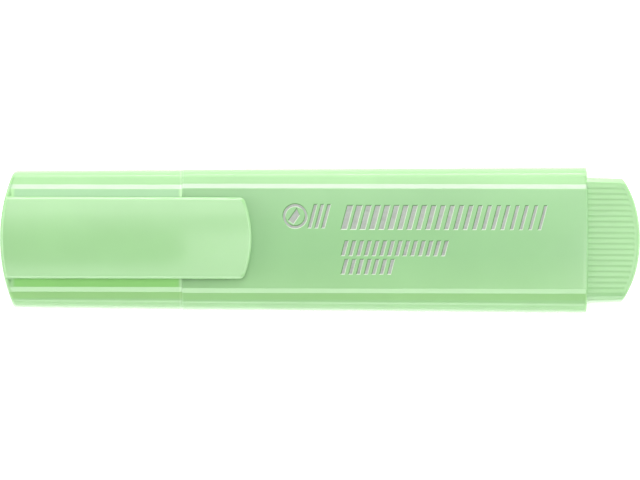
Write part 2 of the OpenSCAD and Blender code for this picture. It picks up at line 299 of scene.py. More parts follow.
class Mat:
    def __init__(self, name):
        self.m = bpy.data.materials.new(name)
        self.m.use_nodes = True
        self.t = self.m.node_tree
        self.bsdf = self.t.nodes["Principled BSDF"]

    def node(self, kind, **values):
        n = self.t.nodes.new(kind)
        for k, v in values.items():
            if k in n.inputs:
                n.inputs[k].default_value = v
            else:
                setattr(n, k, v)
        return n

    def link(self, a, b):
        self.t.links.new(a, b)

    def set(self, **values):
        for k, v in values.items():
            self.bsdf.inputs[k.replace("_", " ")].default_value = v

    def coords(self, scale=(1, 1, 1)):
        tc = self.node("ShaderNodeTexCoord")
        mp = self.node("ShaderNodeMapping")
        mp.inputs["Scale"].default_value = scale
        self.link(tc.outputs["Object"], mp.inputs["Vector"])
        return mp.outputs["Vector"]

    def noise(self, vec, scale, detail=2.0, rough=0.5):
        n = self.node("ShaderNodeTexNoise")
        n.inputs["Scale"].default_value = scale
        n.inputs["Detail"].default_value = detail
        n.inputs["Roughness"].default_value = rough
        self.link(vec, n.inputs["Vector"])
        return n.outputs["Fac"]

    def ramp(self, fac, stops):
        n = self.node("ShaderNodeValToRGB")
        e = n.color_ramp.elements
        e[0].position, e[0].color = stops[0]
        e[1].position, e[1].color = stops[-1]
        for p, c in stops[1:-1]:
            q = e.new(p)
            q.color = c
        self.link(fac, n.inputs["Fac"])
        return n.outputs["Color"]

    def remap(self, fac, lo, hi):
        n = self.node("ShaderNodeMapRange")
        n.inputs["To Min"].default_value = lo
        n.inputs["To Max"].default_value = hi
        self.link(fac, n.inputs["Value"])
        return n.outputs["Result"]

    def bump(self, height, strength, distance, below=None):
        n = self.node("ShaderNodeBump")
        n.inputs["Strength"].default_value = strength
        n.inputs["Distance"].default_value = distance
        self.link(height, n.inputs["Height"])
        if below is not None:
            self.link(below, n.inputs["Normal"])
        return n.outputs["Normal"]


def in_box(m, pos, box):
    """1 inside the box (mm, with a soft edge for each axis), 0 outside."""
    fac = None
    for axis, lo, hi, soft in box:
        for edge, way in ((lo, 1), (hi, -1)):
            r = m.node("ShaderNodeMapRange")
            r.interpolation_type = "SMOOTHSTEP"
            r.inputs["From Min"].default_value = (edge - soft) * MM
            r.inputs["From Max"].default_value = (edge + soft) * MM
            r.inputs["To Min"].default_value = 0.0 if way > 0 else 1.0
            r.inputs["To Max"].default_value = 1.0 if way > 0 else 0.0
            m.link(pos.outputs[axis], r.inputs["Value"])
            fac = r.outputs["Result"] if fac is None else times(m, fac, r.outputs["Result"])
    return fac


def times(m, a, b):
    k = m.node("ShaderNodeMath")
    k.operation = "MULTIPLY"
    m.link(a, k.inputs[0])
    m.link(b, k.inputs[1])
    return k.outputs["Value"]


def toned(m, col, fac, colour, how="MULTIPLY"):
    mix = m.node("ShaderNodeMix")
    mix.data_type, mix.blend_type = "RGBA", how
    if fac is None:
        mix.inputs["Factor"].default_value = 1.0
    else:
        m.link(fac, mix.inputs["Factor"])
    m.link(col, mix.inputs[6])
    if isinstance(colour, tuple):
        mix.inputs[7].default_value = colour
    else:
        m.link(colour, mix.inputs[7])
    return mix.outputs[2]


def plastic(name, base, rough=0.2, vary=0.035, sss=0.12, coat=0.0, grain=0.0, painted_light_boxes=(), painted_light_bands=(), top=1.35, painted_print_walls=None):
    """Moulded polypropylene: soft flow clouds in the colour, a faint flow grain
    along the pen, and a very fine orange-peel in the gloss. Light and shade
    are also painted into the base colour. Bands along Y paint facets lighter or
    darker (painted shade, and a whiter painted highlight). Boxes hold painted
    highlight lines and painted shade. The print's recess walls get painted
    shade where they face -Y and +X, and a painted highlight where they face +Y and -X."""
    m = Mat(name)
    v = m.coords()
    cloud = m.noise(v, 55.0, 3.0, 0.55)
    lo = tuple(c * (1 - vary) for c in base[:3]) + (1,)
    hi = tuple(min(1, c * (1 + vary)) for c in base[:3]) + (1,)
    col = m.ramp(cloud, [(0.3, lo), (0.7, hi)])
    pos = m.node("ShaderNodeSeparateXYZ")
    tc = m.node("ShaderNodeTexCoord")
    m.link(tc.outputs["Object"], pos.inputs["Vector"])
    # painted light and shade: facets along Y, on the upper faces, are tinted lighter or darker
    if painted_light_bands:
        across = m.node("ShaderNodeMapRange")
        across.inputs["From Min"].default_value = -15 * MM
        across.inputs["From Max"].default_value = 15 * MM
        m.link(pos.outputs["Y"], across.inputs["Value"])
        plain = (PAINT_BAND_SCALE, PAINT_BAND_SCALE, PAINT_BAND_SCALE, 1)
        stops = [(0.0, plain)]
        for y0, y1, soft0, soft1, c in painted_light_bands:
            c = tuple(PAINT_BAND_SCALE * q for q in c) + (1,)
            for y, q in ((y0 - soft0, plain), (y0 + soft0, c), (y1 - soft1, c), (y1 + soft1, plain)):
                stops.append(((y + 15) / 30, q))
        painted_band_tint = toned(m, m.ramp(across.outputs["Result"], stops), None, (1 / PAINT_BAND_SCALE, 1 / PAINT_BAND_SCALE, 1 / PAINT_BAND_SCALE, 1))
        up = in_box(m, pos, (("Z", 2 * ZC - top, 2 * ZC + 3, 0.1 if top < 2 else 1.2),))
        col = toned(m, col, up, painted_band_tint)
    # painted highlight lines and painted shade, each held inside a box
    for box, colour in painted_light_boxes:
        col = toned(m, col, in_box(m, pos, box), colour)
    # painted shade on the print's recess walls facing -Y and +X, painted highlight on those facing +Y and -X
    if painted_print_walls:
        box, lit_and_shaded_walls = painted_print_walls
        inside = in_box(m, pos, box)
        for way, colour, how in lit_and_shaded_walls:
            dot = m.node("ShaderNodeVectorMath")
            dot.operation = "DOT_PRODUCT"
            m.link(tc.outputs["Normal"], dot.inputs[0])
            dot.inputs[1].default_value = way
            r = m.node("ShaderNodeMapRange")
            r.inputs["From Min"].default_value = 0.2
            r.inputs["From Max"].default_value = 0.5
            m.link(dot.outputs["Value"], r.inputs["Value"])
            col = toned(m, col, times(m, inside, r.outputs["Result"]), colour, how)
    m.link(col, m.bsdf.inputs["Base Color"])
    flow = m.noise(m.coords((0.25, 1, 1)), 420.0, 2.0, 0.5)
    m.link(m.remap(flow, rough - 0.035, rough + 0.045), m.bsdf.inputs["Roughness"])
    peel = m.noise(m.coords(), 900.0, 2.0, 0.5)
    n = m.bump(peel, 0.06, 0.00005)
    if grain:
        fine = m.noise(m.coords(), 5200.0, 3.0, 0.6)
        n = m.bump(fine, grain, 0.00004, n)
    m.link(n, m.bsdf.inputs["Normal"])
    m.set(IOR=1.49, Subsurface_Weight=sss, Subsurface_Scale=0.0009)
    m.bsdf.inputs["Subsurface Radius"].default_value = (0.7, 1.0, 0.55)
    m.bsdf.inputs["Coat Weight"].default_value = coat
    return m.m


# scale that lets the painted light and shade bands rise above 1 inside a colour ramp
PAINT_BAND_SCALE = 0.8
# barrel: painted shade on the -Y shoulder strip and across the broad face, a whiter painted highlight on the +Y
# bevel, a painted highlight line round the shoulder where the cap meets, and painted shade and highlight on the
# print's recess walls
BODY = plastic("body_plastic", (0.306, 0.556, 0.259), 0.17,
               painted_light_bands=[(-11.28, -10.08, 0.1, 0.1, (0.98, 1.0, 0.90)), (-6.0, 9.1, 3.0, 0.1, (0.90, 0.93, 0.94)),
                      (9.23, 10.08, 0.03, 0.05, (1.0, 0.84, 1.08))],
               painted_light_boxes=[((("X", X_SHO - 0.3, X_SHO + 0.12, 0.06),), (1.22, 1.15, 1.25, 1))],
               painted_print_walls=((("X", -8.0, 48.0, 0.5), ("Y", -7.5, 7.3, 0.3), ("Z", 2 * ZC - 0.6, 2 * ZC + 0.6, 0.05)),
                     (((0.45, -0.89, 0.0), (0.50, 0.60, 0.47, 1), "MULTIPLY"), ((-0.45, 0.89, 0.0), (0.62, 0.72, 0.58, 1), "MIX"))))
# cap: painted shade on the -Y shoulder strip, a whiter painted highlight on the +Y bevel, a painted highlight line
# round the mouth's rim, and painted shade on the strips beside the clip, greener on the -Y side
TOP_ONLY = ("Z", 2 * ZC - 0.6, 2 * ZC + 1.5, 0.2)
PAD_X = ("X", X_END + 2.6, X_MOUTH - 0.5, 0.3)
CAPM = plastic("cap_plastic", (0.306, 0.560, 0.256), 0.17,
               painted_light_bands=[(-11.1, -9.9, 0.1, 0.1, (0.98, 1.0, 0.86)), (9.05, 9.9, 0.03, 0.05, (1.0, 0.86, 1.08))],
               painted_light_boxes=[((("X", X_MOUTH - 0.36, X_MOUTH + 0.5, 0.08),), (1.22, 1.12, 1.25, 1)),
                     ((PAD_X, ("Y", -9.0, -7.3, 0.12), TOP_ONLY), (0.82, 1.0, 0.66, 1)),
                     ((PAD_X, ("Y", 7.3, 9.0, 0.12), TOP_ONLY), (0.82, 0.82, 0.93, 1))])
CLIP = plastic("clip_plastic", (0.312, 0.566, 0.264), 0.16)
# plug: painted shade on the -Y side strip
PLUG = plastic("plug_plastic", (0.320, 0.572, 0.272), 0.20,
               painted_light_bands=[(-11.6, -9.9, 0.4, 0.4, (0.86, 0.90, 0.86))], top=5.0)
SECT = plastic("section_plastic", (0.306, 0.556, 0.259), 0.34, grain=0.25)
SEAL = plastic("seal_plastic", (0.80, 0.88, 0.78), 0.38, 0.02, 0.3, grain=0.2)
TUBE = plastic("tube_plastic", (0.82, 0.84, 0.80), 0.35, 0.02, 0.3)


def fibre(name, dark, light, ink=None, x_ink=0.0):
    """Bonded fibre: strands along the pen, with ink soaked in from the tip."""
    m = Mat(name)
    strands = m.noise(m.coords((0.06, 1, 1)), 5200.0, 3.0, 0.6)
    pores = m.noise(m.coords((0.4, 1, 1)), 2600.0, 4.0, 0.65)
    col = m.ramp(strands, [(0.32, dark), (0.68, light)])
    if ink:
        sep = m.node("ShaderNodeSeparateXYZ")
        tc = m.node("ShaderNodeTexCoord")
        m.link(tc.outputs["Object"], sep.inputs["Vector"])
        g = m.node("ShaderNodeMapRange")
        g.inputs["From Min"].default_value = x_ink - 0.0025
        g.inputs["From Max"].default_value = x_ink + 0.0035
        g.inputs["To Min"].default_value = 1.0
        g.inputs["To Max"].default_value = 0.0
        m.link(sep.outputs["X"], g.inputs["Value"])
        mix = m.node("ShaderNodeMix")
        mix.data_type = "RGBA"
        mix.blend_type = "MULTIPLY"
        m.link(g.outputs["Result"], mix.inputs["Factor"])
        m.link(col, mix.inputs[6])
        mix.inputs[7].default_value = ink
        col = mix.outputs[2]
    m.link(col, m.bsdf.inputs["Base Color"])
    m.link(m.remap(pores, 0.62, 0.9), m.bsdf.inputs["Roughness"])
    m.link(m.bump(strands, 0.45, 0.00006, m.bump(pores, 0.35, 0.00005)), m.bsdf.inputs["Normal"])
    m.set(IOR=1.4, Subsurface_Weight=0.25, Subsurface_Scale=0.0007)
    return m.m


NIB = fibre("nib_fibre", (0.42, 0.72, 0.24, 1), (0.60, 0.88, 0.38, 1), (0.82, 0.98, 0.72, 1), X_NECK * MM - 0.0155)
CORE = fibre("core_fibre", (0.40, 0.70, 0.22, 1), (0.60, 0.86, 0.36, 1))


def foil():
    m = Mat("foil")
    v = m.coords()
    mottle = m.noise(v, 900.0, 4.0, 0.6)
    fleck = m.noise(m.coords(), 6500.0, 2.0, 0.5)
    m.link(m.ramp(mottle, [(0.3, (0.29, 0.315, 0.28, 1)), (0.7, (0.38, 0.41, 0.37, 1))]), m.bsdf.inputs["Base Color"])
    m.link(m.remap(fleck, 0.34, 0.5), m.bsdf.inputs["Roughness"])
    m.link(m.bump(fleck, 0.2, 0.00002), m.bsdf.inputs["Normal"])
    m.set(Metallic=0.45, IOR=1.5)
    return m.m


FOIL = foil()


def film():
    m = Mat("film_plastic")
    w = m.noise(m.coords((0.3, 1, 1)), 300.0, 2.0, 0.5)
    m.link(m.ramp(w, [(0.3, (0.86, 0.93, 0.84, 1)), (0.7, (0.93, 0.97, 0.91, 1))]), m.bsdf.inputs["Base Color"])
    m.link(m.remap(w, 0.12, 0.24), m.bsdf.inputs["Roughness"])
    m.link(m.bump(w, 0.3, 0.0001), m.bsdf.inputs["Normal"])
    m.set(IOR=1.5)
    return m.m


FILM = film()

# ---------------------------------------------------------------------------
# barrel, with its neck
# ---------------------------------------------------------------------------

T = ZC
W_FRONT = 12.86
BOW = 0.2


def barrel():
    B = Build()
    def width(x):
        return W_FRONT + (W_TAIL - W_FRONT) * (x - X_SHO) / (X_TAIL - X_SHO)
    rings = []
    def add(x, inset):
        w = width(x)
        s = section(w, T, FACE, 0, CROWN)
        roll = 0.006 * max(0.0, (x - (X_TAIL - 8.5)) / 8.5) ** 2
        s = np.where(s[:, 1:2] > 0, s * np.array([1, 1 - roll]), s)
        s = scaled(s, w, T, inset)
        bow = BOW * smooth((x - 30) / (X_TAIL - 30 - 0.6))
        rings.append(B.pts(ring3(s, x - bow * (s[:, 0] / w) ** 2)))
    for d, i in [(-0.05, 0.02), (-0.03, 0.0)]:
        add(X_SHO + d, i)
    for x in np.linspace(X_SHO + 0.6, X_TAIL - 10, 18):
        add(x, 0)
    for x in np.linspace(X_TAIL - 9, X_TAIL - 1, 14):
        add(x, 0)
    for d, i in quarter(0.38, 6)[::-1]:
        add(X_TAIL - d, i)
    B.loft(rings)
    B.ladder(rings[-1], flip=True)
    # neck: a rounded oblong that the cap slides over, with a rounded front rim
    hw, ht, r = CAV_HW - 0.15, CAV_HT - 0.15, 2.85
    neck = []
    base = rrect_ring(hw, ht, r)
    root = B.pts(ring3(base, X_SHO - 0.05))
    neck.append(root)
    def bead(x):
        return 0.08 * math.exp(-((x - (X_NECK + 4.4)) / 0.32) ** 2)
    for x in list(np.linspace(X_SHO - 0.3, X_NECK + 5.4, 5)) + list(np.linspace(X_NECK + 5.1, X_NECK + 3.7, 12)) \
            + list(np.linspace(X_NECK + 3.2, X_NECK + 0.6, 4)):
        s = base.copy()
        k = bead(x)
        for p in s:
            if abs(p[1]) > ht - 0.01 and abs(p[0]) < 6.2:
                p[1] += math.copysign(k, p[1])
        neck.append(B.pts(ring3(s, x)))
    for d, i in quarter(0.5, 5)[::-1]:
        neck.append(B.pts(ring3(base * np.array([(hw - i) / hw, (ht - i) / ht]), X_NECK + d)))
    B.loft(neck, flip=True)
    B.ladder(neck[-1])
    B.bridge(rings[0], root)
    o = B.make("barrel_body_shell", BODY, 30)
    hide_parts("barrel")
    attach(o, "barrel_body")
    return o



# generic marks in place of a print: each is pressed 0.1 mm into the face,
# with sloped walls, and foiled on its floor


def stroke(x, y, w, h):
    return [(x - 0.26 * h, y - h), (x + w - 0.26 * h, y - h), (x + w + 0.26 * h, y + h), (x + 0.26 * h, y + h)]


def turn_about(pts, deg, cx, cy):
    c, q = cos(rad(deg)), sin(rad(deg))
    return [(cx + x * c - y * q, cy + x * q + y * c) for x, y in pts]


MARKS = [turn_about([(-0.5, -1.3), (0.5, -1.3), (0.5, 0.6), (-0.5, 1.25)], -35, -4.6, 4.1)]
MARKS += [stroke(-1.6 + i * 1.25, 4.1, 0.42, 2.1) for i in range(3)]
MARKS += [stroke(4.5 + i * 1.73, 3.9, 0.92 - i * 0.026, 2.15) for i in range(22)]
MARKS += [stroke(4.3 + i * 1.42, -1.8, 0.5, 1.3) for i in range(14)]
MARKS += [stroke(4.3 + i * 1.42, -5.2, 0.5, 1.3) for i in range(7)]
RING = (-4.6, 4.1, 1.85, 2.2)
DEPTH, RUN = 0.20, 0.16


def grown(poly, r):
    """Convex polygon (anticlockwise) with every side moved out by r."""
    n, out = len(poly), []
    P = [np.array(p, float) for p in poly]
    for i in range(n):
        a, b, c = P[i - 1], P[i], P[(i + 1) % n]
        u, v = (b - a) / np.linalg.norm(b - a), (c - b) / np.linalg.norm(c - b)
        nu, nv = np.array([u[1], -u[0]]), np.array([v[1], -v[0]])
        k = r / (1 + nu @ nv)
        out.append(tuple(b + (nu + nv) * k))
    return out


def face_z(y):
    return 2 * ZC + CROWN * (1 - (y / FACE) ** 2)


def marks_mesh(low, low_r, high, high_r):
    """Every mark as a closed solid from low to high (mm from the face), grown by low_r and high_r."""
    B = Build()
    for m in MARKS:
        lo = B.pts([(x, y, face_z(y) + low) for x, y in grown(m, low_r)])
        hi = B.pts([(x, y, face_z(y) + high) for x, y in grown(m, high_r)])
        B.loft([lo, hi])
        B.f += [tuple(lo[::-1]), tuple(hi)]
    cx, cy, r0, r1 = RING
    rings = []
    for z, dr in ((low, low_r), (high, high_r)):
        for r in (r0 - dr, r1 + dr):
            rings.append(B.pts([(cx + r * cos(a), cy + r * sin(a), face_z(cy + r * sin(a)) + z)
                                for a in np.linspace(0, 2 * math.pi, 72, endpoint=False)]))
    B.loft([rings[0], rings[1], rings[3], rings[2], rings[0]])
    return B


shell = barrel()
cut(shell, [marks_mesh(-DEPTH, 0.0, DEPTH, 2 * RUN).make("tool", BODY)], BODY, 30)
weighted(shell)
print_ = marks_mesh(-DEPTH - 0.02, 0.01, -DEPTH + 0.02, 0.015).make("foil_marks", FOIL, 30)
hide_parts("foil_print")
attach(print_, "barrel_body")

# ---------------------------------------------------------------------------
# cap
# ---------------------------------------------------------------------------

CT = ZC - 0.05
CAP_F = FACE - 0.18
END_R = 32.0


def sag(y, r=END_R):
    return r - np.sqrt(r * r - np.asarray(y) ** 2)


def cap():
    B = Build()
    rings = []
    def width(x):
        return 12.55 + 0.25 * (x - X_END) / (X_MOUTH - X_END)
    def add(x, inset, arc):
        w = width(x)
        s = scaled(section(w, CT, CAP_F, PAD_H, 0), w, CT, inset, 0.4 if arc == 1 else 1)
        rings.append(B.pts(ring3(s, x + sag(s[:, 0]) * arc)))
    for d, i in quarter(0.75, 6):
        add(X_END + d, i, 1)
    for k, x in enumerate(np.linspace(X_END + 1.4, X_END + 13, 10)):
        add(x, 0, 1 - smooth((x - X_END - 2) / 11))
    for x in np.linspace(X_END + 15, X_MOUTH - 1, 9):
        add(x, 0, 0)
    for d, i in [(0.40, 0.0), (0.36, 0.001), (0.32, 0.004), (-0.08, 0.05)]:
        add(X_MOUTH - d, i, 0)
    B.loft(rings)
    B.ladder(rings[0])
    # hollow, slightly drafted, with a curved inner end
    inner = []
    def inside(x, dhw, arc):
        s = rrect_ring(CAV_HW + dhw, CAV_HT + dhw, 3.0 + dhw)
        inner.append(B.pts(ring3(s, x + sag(s[:, 0], END_R - 1.4) * arc)))
    for d, i in [(-0.08, 0.04), (-0.04, 0.01), (0.1, 0.0)]:
        inside(X_MOUTH - d, i, 0)
    for x in np.linspace(X_MOUTH - 1, X_END + 14, 8):
        inside(x, 0, 0)
    for x in np.linspace(X_END + 12, X_END + 3, 6):
        inside(x, 0, 1 - smooth((x - X_END - 3) / 10))
    inside(X_END + 1.4 + 0.35, 0, 1)
    inside(X_END + 1.4 + 0.1, -0.1, 1)
    inside(X_END + 1.4, -0.35, 1)
    B.loft(inner, flip=True)
    B.ladder(inner[-1], flip=True)
    B.bridge(rings[-1], inner[0])
    o = B.make("cap_body_shell", CAPM, 30)
    # slot for the clip's foot, and the small pockets beside the clip's root
    tools = [block((X_END + 2.45, -4.3, ZC + 5), (X_END + 4.15, 4.3, ZC + 9.5), 0.15)]
    for y in (-1, 1):
        tools.append(block((X_END + 1.66, y * 8.15 - 0.38, ZC + CT + 0.33), (X_END + 2.1, y * 8.15 + 0.38, ZC + CT + 2.5), 0.06))
    cut(o, tools, CAPM, 30)
    weighted(o)
    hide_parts("cap_shell")
    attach(o, "cap_body")
    return o


def block(lo, hi, bev=0.1):
    bm = bmesh.new()
    bmesh.ops.create_cube(bm, size=1)
    lo, hi = np.array(lo), np.array(hi)
    for v in bm.verts:
        v.co = Vector((lo + (hi - lo) * (np.array(v.co) + 0.5)) * MM)
    if bev:
        bmesh.ops.bevel(bm, geom=bm.edges[:], offset=bev * MM, segments=2, profile=0.5, affect="EDGES")
    me = bpy.data.meshes.new("tool")
    bm.to_mesh(me)
    bm.free()
    o = bpy.data.objects.new("tool", me)
    bpy.context.scene.collection.objects.link(o)
    return o


cap()

# ---------------------------------------------------------------------------
# clip
# ---------------------------------------------------------------------------

CH, CE, TIP_R = 7.525, 1.1, 19.5
CLIP_TOP, CLIP_T, SLOPE, CL_CROWN = 10.5, 1.4, rad(4.8), 0.45


def clip_out(x):
    u, b0, b1, k = x - X_END, 24.0, 35.0, math.tan(SLOPE)
    if u <= b0:
        return CLIP_TOP
    if u < b1:
        return CLIP_TOP - k * (u - b0) ** 2 / (2 * (b1 - b0))
    return CLIP_TOP - k * ((b1 - b0) / 2 + u - b1)


def clip_in(x):
    u = x - X_END
    z = clip_out(x) - CLIP_T + 0.4 * min(1, max(0, (u - 26) / 20))
    root = PAD_H + ZC + 0.1
    if u <= 8:
        return root
    if u < 11:
        return root + (z - root) * (1 - cos(math.pi * (u - 8) / 3)) / 2
    return z


def clip():
    B = Build()
    xt = X_CTIP - TIP_R
    ang = math.asin((CH - CE) / (TIP_R - CE))
    xc, yc = xt + (TIP_R - CE) * cos(ang), CH - CE
    er = 0.45                       # corner radius at the root's two corners

    def outline(i):
        """Columns of (rear point, tip point) with y matched, at inset i; y from + to -."""
        cols = []
        ys = []
        for a in np.linspace(90, math.degrees(ang), 7):
            ys.append(("c", rad(a)))
        for a in np.linspace(math.degrees(ang), 0, 12)[1:]:
            ys.append(("t", rad(a)))
        right = []
        for kind, a in ys:
            if kind == "c":
                p = (xc + (CE - i) * cos(a), yc + (CE - i) * sin(a), cos(a), sin(a))
            else:
                p = (xt + (TIP_R - i) * cos(a), (TIP_R - i) * sin(a), cos(a), sin(a))
            right.append(p)
        left = [(p[0], -p[1], p[2], -p[3]) for p in right[::-1][1:]]
        tip = right + left
        for x, y, nx, ny in tip:
            r = END_R - i
            d = math.sqrt(r * r - y * y)
            xr = X_END + 0.12 + END_R - d
            cols.append(((xr, y, -d / r, y / r), (x, y, nx, ny)))
        return cols

    N_U = 46
    us = [0, 0.002, 0.004, 0.007, 0.010, 0.014, 0.019, 0.026, 0.04, 0.065] + list(np.linspace(0.1, 0.94, N_U)) + [0.97, 0.988, 0.996, 1]
    def zt(x, y):
        # the root end falls away a little before its edge
        d = math.hypot(x - X_END - 0.12 - END_R, y)
        d = max(0.0, min(1.0, 1 - (END_R - d) / 1.1)) if x < X_END + 6 else 0.0
        return ZC + clip_out(x) - CL_CROWN * (y / CH) ** 2 - 0.06 * d * d
    def zb(x, y):
        return ZC + clip_in(x)

    def level(i, zfun, dz):
        """Grid of vertices over the outline at inset i, index [column][row]."""
        out = []
        for (a, b) in outline(i):
            col = []
            for u in us:
                x, y = a[0] + (b[0] - a[0]) * u, a[1]
                col.append((x, y, zfun(x, y) + dz))
            out.append(B.pts(col))
        return out

    def edge(i, zfun, dz):
        """Perimeter loop at inset i: up the +Y side from root to tip, round the tip, back, and along the root."""
        cols = outline(i)
        loop = []
        first, last = cols[0], cols[-1]
        loop += [(first[0][0] + (first[1][0] - first[0][0]) * u, first[0][1]) for u in us]
        loop += [(c[1][0], c[1][1]) for c in cols[1:-1]]
        loop += [(last[0][0] + (last[1][0] - last[0][0]) * u, last[0][1]) for u in us[::-1]]
        loop += [(c[0][0], c[0][1]) for c in cols[1:-1][::-1]]
        return B.pts([(x, y, zfun(x, y) + dz) for x, y in loop])

    def rim(grid):
        n = len(grid)
        loop = list(grid[0]) + [grid[k][-1] for k in range(1, n - 1)] + list(grid[-1][::-1]) + [grid[k][0] for k in range(n - 2, 0, -1)]
        return loop

    r_bot = 0.15
    easing = [(0.54, 0.0), (0.50, 0.005), (0.455, 0.03), (0.10, 0.315), (0.045, 0.372), (0.012, 0.44), (0.0, 0.52)]
    top = level(easing[0][0], zt, 0)
    for a, b in zip(top, top[1:]):
        for i in range(len(us) - 1):
            B.f.append((a[i], a[i + 1], b[i + 1], b[i]))
    loops = [rim(top)]
    for inset, drop in easing[1:]:
        loops.append(edge(inset, zt, -drop))
    for k in range(0, 4):
        a = math.pi / 2 * k / 3
        loops.append(edge(r_bot * (1 - cos(a)), zb, r_bot * (1 - sin(a))))
    bottom = level(r_bot, zb, 0)
    for a, b in zip(bottom, bottom[1:]):
        for i in range(len(us) - 1):
            B.f.append((a[i], b[i], b[i + 1], a[i + 1]))
    loops[-1] = rim(bottom)
    B.loft(loops)
    used = sorted(set(i for f in B.f for i in f))
    remap = {k: n for n, k in enumerate(used)}
    B.v = [B.v[k] for k in used]
    B.f = [tuple(remap[i] for i in f) for f in B.f]
    o = B.make("pocket_clip", CLIP, 35)
    foot = block((X_END + 2.7, -4, ZC + CAV_HT + 0.35), (X_END + 3.9, 4, ZC + PAD_H + ZC + 0.6), 0.12)
    cut(o, [foot], CLIP, 35, "UNION")
    weighted(o)
    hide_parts("clip")
    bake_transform(o)
    return o


clip()

# ---------------------------------------------------------------------------
# tail plug with its grip ribs
# ---------------------------------------------------------------------------

P_T0, P_T1, RIBS, PITCH = 6.55, 5.95, 20, 1.022


def plug():
    B = Build()
    W0 = 11.53

    def half(w, t, groove):
        """Top chain from +Y to -Y; groove is the depth of the grip grooves here."""
        e = math.acos(0.1463)
        arc = [np.array([w - 0.445 * (1 - cos(e * q)), t - 3.2 + 2.628 * sin(e * q)]) for q in np.linspace(0, 1, 13)]
        half_w = RIBS / 2 * PITCH
        C1, C2 = np.array([w - 0.93, t - 0.12]), np.array([half_w, t])
        side = arc[:-1] + fillet(arc[-2], arc[-1], C1, 0.1, 3, 0.04) + fillet(arc[-1], C1, C2, 0.1, 3, 0.04)
        n = int(RIBS * 10)
        face = []
        for k in range(n + 1):
            y = half_w - RIBS * PITCH * k / n
            g = abs(((y / PITCH) % 1.0) - 0.5) * 2          # 1 in a groove, 0 on a crest
            d = groove * (0.5 - 0.5 * cos(math.pi * max(0.0, (g - 0.2) / 0.8)))
            face.append(np.array([y, t - d]))
        left = [np.array([-p[0], p[1]]) for p in side[::-1]]
        return side + face + left

    rings = []
    def x_arc(y):
        y = np.asarray(y)
        return X_PLUG - 0.01986 * y ** 2 - 4.39e-5 * y ** 4
    def bow(y):
        return BOW * (np.asarray(y) / W_TAIL) ** 2
    RIM = 0.48
    def add(q, inset, groove, back=0.0):
        """q runs 0 at the barrel to 1 at the inner side of the end's rounded rim."""
        t = P_T0 + (P_T1 - P_T0) * q
        w = W0 - 0.17 * q
        up = half(w, t, groove)
        dn = [np.array([p[0], -p[1]]) for p in half(w, t, groove)][::-1]
        s = scaled(np.array(up + dn), w, t, inset, 0.18)
        x0 = X_TAIL - 0.45 - bow(s[:, 0])
        x1 = x_arc(s[:, 0]) - RIM + back
        rings.append(B.pts(ring3(s, x0 + (x1 - x0) * min(1, q) if not back else x1)))
    G = 0.095
    for q in (0, 0.05, 0.12, 0.25, 0.4, 0.55, 0.7, 0.82, 0.88, 0.915):
        add(q, 0, G)
    for k in range(1, 7):
        a = k / 6
        add(0.915 + 0.05 * a, 0, G * (1 - smooth(a)))
    add(0.985, 0, 0)
    for d, i in quarter(RIM, 6)[::-1]:
        add(1.0, i, 0, RIM - d + 1e-9)
    B.loft(rings)
    B.ladder(rings[0])
    B.ladder(rings[-1], flip=True)
    o = B.make("tail_plug", PLUG, 40)
    weighted(o)
    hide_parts("end_plug")
    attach(o, "barrel_body")
    return o


plug()

# ---------------------------------------------------------------------------
# writing end
# ---------------------------------------------------------------------------


def turned(name, profile, material, seg=96, closed=False, sharp=30):
    """Turned about the pen's axis; profile is [(radius, x)], radius 0 closes it."""
    B = Build()
    rings = []
    for r, x in profile:
        if r < 1e-6:
            rings.append((x, None))
        else:
            rings.append((x, B.pts([(x, r * cos(a), ZC + r * sin(a)) for a in np.linspace(0, 2 * math.pi, seg, endpoint=False)])))
    if closed:
        rings.append(rings[0])
    for (xa, a), (xb, b) in zip(rings, rings[1:]):
        if a is None and b is not None:
            B.fan(b, (xa, 0, ZC))
        elif b is None and a is not None:
            B.fan(a, (xb, 0, ZC), flip=True)
        elif a is not None:
            B.loft([a, b])
    return B.make(name, material, sharp)


def rounded_profile(pts, r=0.15, seg=3):
    """Rounds every inner corner of a (radius, x) outline."""
    out = [np.array(pts[0], float)]
    for A, P, C in zip(pts, pts[1:], pts[2:]):
        rr = P[2] if len(P) > 2 else r
        out += fillet(A[:2], P[:2], C[:2], rr, seg, 0.08)
    out.append(np.array(pts[-1], float))
    return [(float(p[0]), float(p[1])) for p in out]


def nib_tool(hw, ht, r, x0, x1, name="tool"):
    B = Build()
    s = rrect_ring(hw, ht, r, 6, 4, 3)
    a, b = B.pts(ring3(s, x0)), B.pts(ring3(s, x1))
    B.loft([a, b])
    B.ladder(a)
    B.ladder(b, flip=True)
    return B.make(name, SECT)


